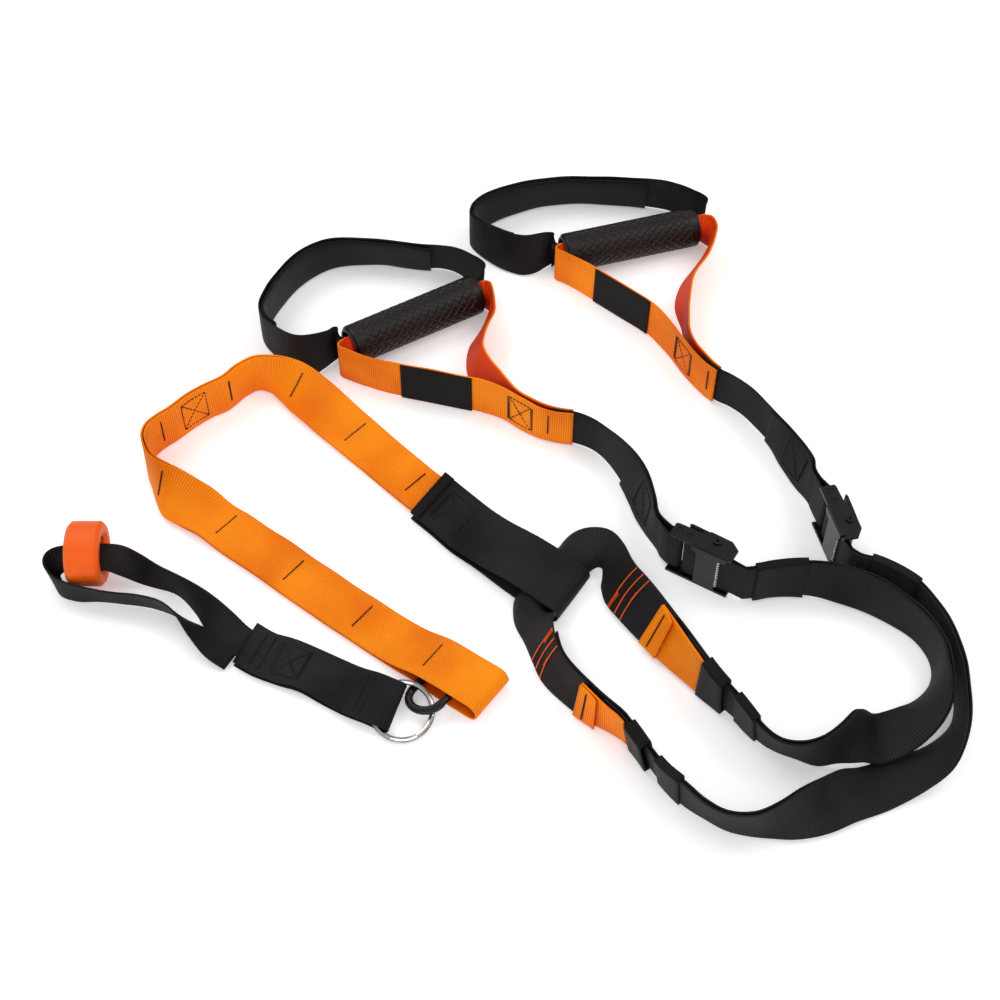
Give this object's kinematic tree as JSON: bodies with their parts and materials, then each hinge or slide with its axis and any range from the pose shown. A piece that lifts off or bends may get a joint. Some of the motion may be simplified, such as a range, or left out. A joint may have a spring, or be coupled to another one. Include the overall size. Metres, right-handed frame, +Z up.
{
  "type": "suspension trainer",
  "caption": "Suspension trainer lying flat: anchor strap with carabiner, door strap with spool, yoke, length straps with cam buckles, two grips and foot loops.",
  "frame": {"origin": "bottom centre of the bounding box of the trainer as it lies on the floor", "axes": "+Z up from the floor, +Y towards the handles, +X towards the handle and buckle on the viewer's right"},
  "size_m": [0.6868, 0.6502, 0.05],
  "materials": {
    "orange_webbing": "woven, matt",
    "black_webbing": "woven, matt",
    "black_coated_steel": "satin black coating",
    "bright_steel": "polished",
    "black_plastic": "matt",
    "textured_rubber": "finely textured, matt",
    "label_cloth": "smooth woven label",
    "orange_foam": "closed-cell foam, satin"
  },
  "bodies": {
    "straps_and_frames": {"anchor_ring": "bright_steel", "anchor_strap": "orange_webbing", "carabiner_body": "black_coated_steel", "connector_loop": "black_webbing", "door_loop": "black_webbing", "door_strap": "black_webbing", "gate_pin": "bright_steel", "left_buckle_frame": "black_coated_steel", "left_buckle_strap": "black_webbing", "left_cam_axle": "black_coated_steel", "left_cam_spring": "bright_steel", "left_foot_pad": "black_webbing", "left_foot_strap": "black_webbing", "left_handle_bar": "black_coated_steel", "left_handle_strap": "orange_webbing", "left_keeper_1": "black_webbing", "left_keeper_2": "black_webbing", "left_keeper_3": "black_webbing", "left_label": "label_cloth", "left_length_strap": "black_webbing", "left_pull_tab": "orange_webbing", "left_turn_bar": "black_coated_steel", "right_buckle_frame": "black_coated_steel", "right_buckle_strap": "black_webbing", "right_cam_axle": "black_coated_steel", "right_cam_spring": "bright_steel", "right_foot_pad": "black_webbing", "right_foot_strap": "black_webbing", "right_handle_bar": "black_coated_steel", "right_handle_strap": "orange_webbing", "right_keeper_1": "black_webbing", "right_keeper_2": "black_webbing", "right_keeper_3": "black_webbing", "right_label": "label_cloth", "right_length_strap": "black_webbing", "right_pull_tab": "orange_webbing", "right_turn_bar": "black_coated_steel", "yoke_strap": "black_webbing"},
    "left_cam": {"left_cam_lever": "black_coated_steel"},
    "right_cam": {"right_cam_lever": "black_coated_steel"},
    "gate": {"carabiner_gate": "black_coated_steel"},
    "left_grip": {"left_grip_tube": "black_plastic", "left_grip_sleeve": "textured_rubber"},
    "right_grip": {"right_grip_tube": "black_plastic", "right_grip_sleeve": "textured_rubber"},
    "spool": {"door_spool": "orange_foam"}
  },
  "joints": [
    {"name": "left_cam_press", "type": "hinge", "parent": "straps_and_frames", "child": "left_cam", "pos_m": [0.17052, -0.0998, 0.0234], "axis": [0, 0, 1], "range_deg": [0, 12], "stiffness_Nm_per_rad": 0.08},
    {"name": "right_cam_press", "type": "hinge", "parent": "straps_and_frames", "child": "right_cam", "pos_m": [0.27249, -0.07848, 0.0234], "axis": [0, 0, 1], "range_deg": [0, 12], "stiffness_Nm_per_rad": 0.08},
    {"name": "gate_open", "type": "hinge", "parent": "straps_and_frames", "child": "gate", "pos_m": [-0.01884, -0.20227, 0.012], "axis": [-0.1596, 0.1488, 0.9759], "range_deg": [-18, 0], "stiffness_Nm_per_rad": 0.05},
    {"name": "left_grip_turn", "type": "hinge", "parent": "straps_and_frames", "child": "left_grip", "pos_m": [-0.06617, 0.15888, 0.01725], "axis": [0.8634, 0.5045, 0], "continuous": true},
    {"name": "right_grip_turn", "type": "hinge", "parent": "straps_and_frames", "child": "right_grip", "pos_m": [0.12241, 0.2565, 0.01725], "axis": [0.9598, 0.2807, 0], "continuous": true},
    {"name": "spool_turn", "type": "hinge", "parent": "straps_and_frames", "child": "spool", "pos_m": [-0.3072, -0.0947, 0.025], "axis": [1, 0, 0], "continuous": true}
  ]
}
